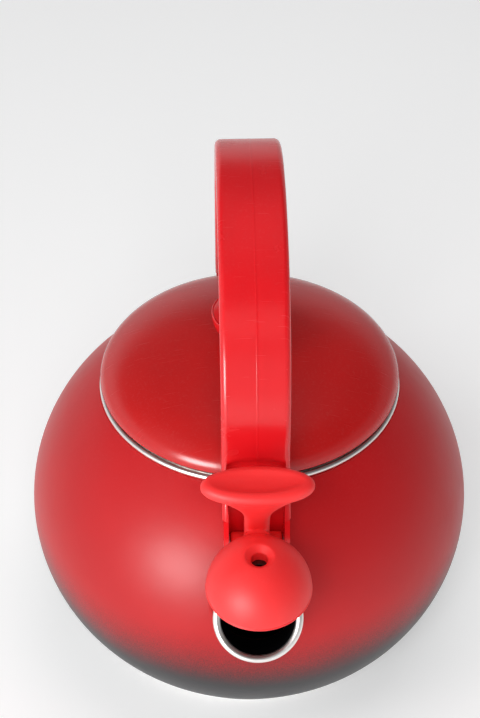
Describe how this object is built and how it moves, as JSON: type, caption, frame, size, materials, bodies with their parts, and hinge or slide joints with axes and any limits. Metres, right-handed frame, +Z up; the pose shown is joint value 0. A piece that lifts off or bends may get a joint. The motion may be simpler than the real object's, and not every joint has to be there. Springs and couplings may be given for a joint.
{
  "type": "stovetop whistling kettle",
  "caption": "Round-bellied stovetop whistling kettle with an arch handle, a lift-off domed lid, and a thumb lever that swings a whistle cap over a short spout.",
  "frame": {"origin": "centre of the underside, on the stove", "axes": "+Z up, -Y towards the spout, X across the handle"},
  "size_m": [0.21, 0.25, 0.261],
  "materials": {
    "body_paint": "satin red shading to black near the base",
    "lid_paint": "glossy red enamel",
    "bright_steel": "polished stainless steel",
    "base_steel": "circular brushed stainless steel",
    "strip_steel": "plain rolled steel strip",
    "fastener_steel": "zinc plated",
    "aluminium_core": "plain rolled aluminium",
    "grip_plastic": "semi-gloss red moulding",
    "knob_plastic": "glossy red moulding",
    "lever_plastic": "soft matte red moulding",
    "seal_rubber": "matte silicone"
  },
  "bodies": {
    "kettle": {"body_shell": "body_paint", "rim_ring": "bright_steel", "base_core": "aluminium_core", "base_cover": "base_steel", "spout_tube": "body_paint", "spout_ring": "bright_steel", "body_studs": "fastener_steel", "front_bracket": "grip_plastic", "rear_bracket": "grip_plastic", "bracket_screws": "fastener_steel", "handle_grip": "grip_plastic", "handle_core": "strip_steel", "handle_screws": "fastener_steel", "pivot_pin": "fastener_steel", "pivot_washers": "fastener_steel"},
    "whistle_lever": {"thumb_lever": "lever_plastic", "whistle_cap": "lever_plastic", "whistle_seal": "seal_rubber", "whistle_disc": "bright_steel", "whistle_cup": "bright_steel"},
    "lid": {"lid_shell": "lid_paint", "lid_skirt": "bright_steel", "lid_knob": "knob_plastic", "knob_washer": "bright_steel", "knob_screw": "fastener_steel"}
  },
  "joints": [
    {"name": "whistle_hinge", "type": "hinge", "parent": "kettle", "child": "whistle_lever", "pos_m": [0, -0.0925, 0.1325], "axis": [1, 0, 0], "range_deg": [-8, 50]},
    {"name": "lid_lift", "type": "slide", "parent": "kettle", "child": "lid", "axis": [0, 0, 1], "range_m": [0, 0.04]}
  ]
}
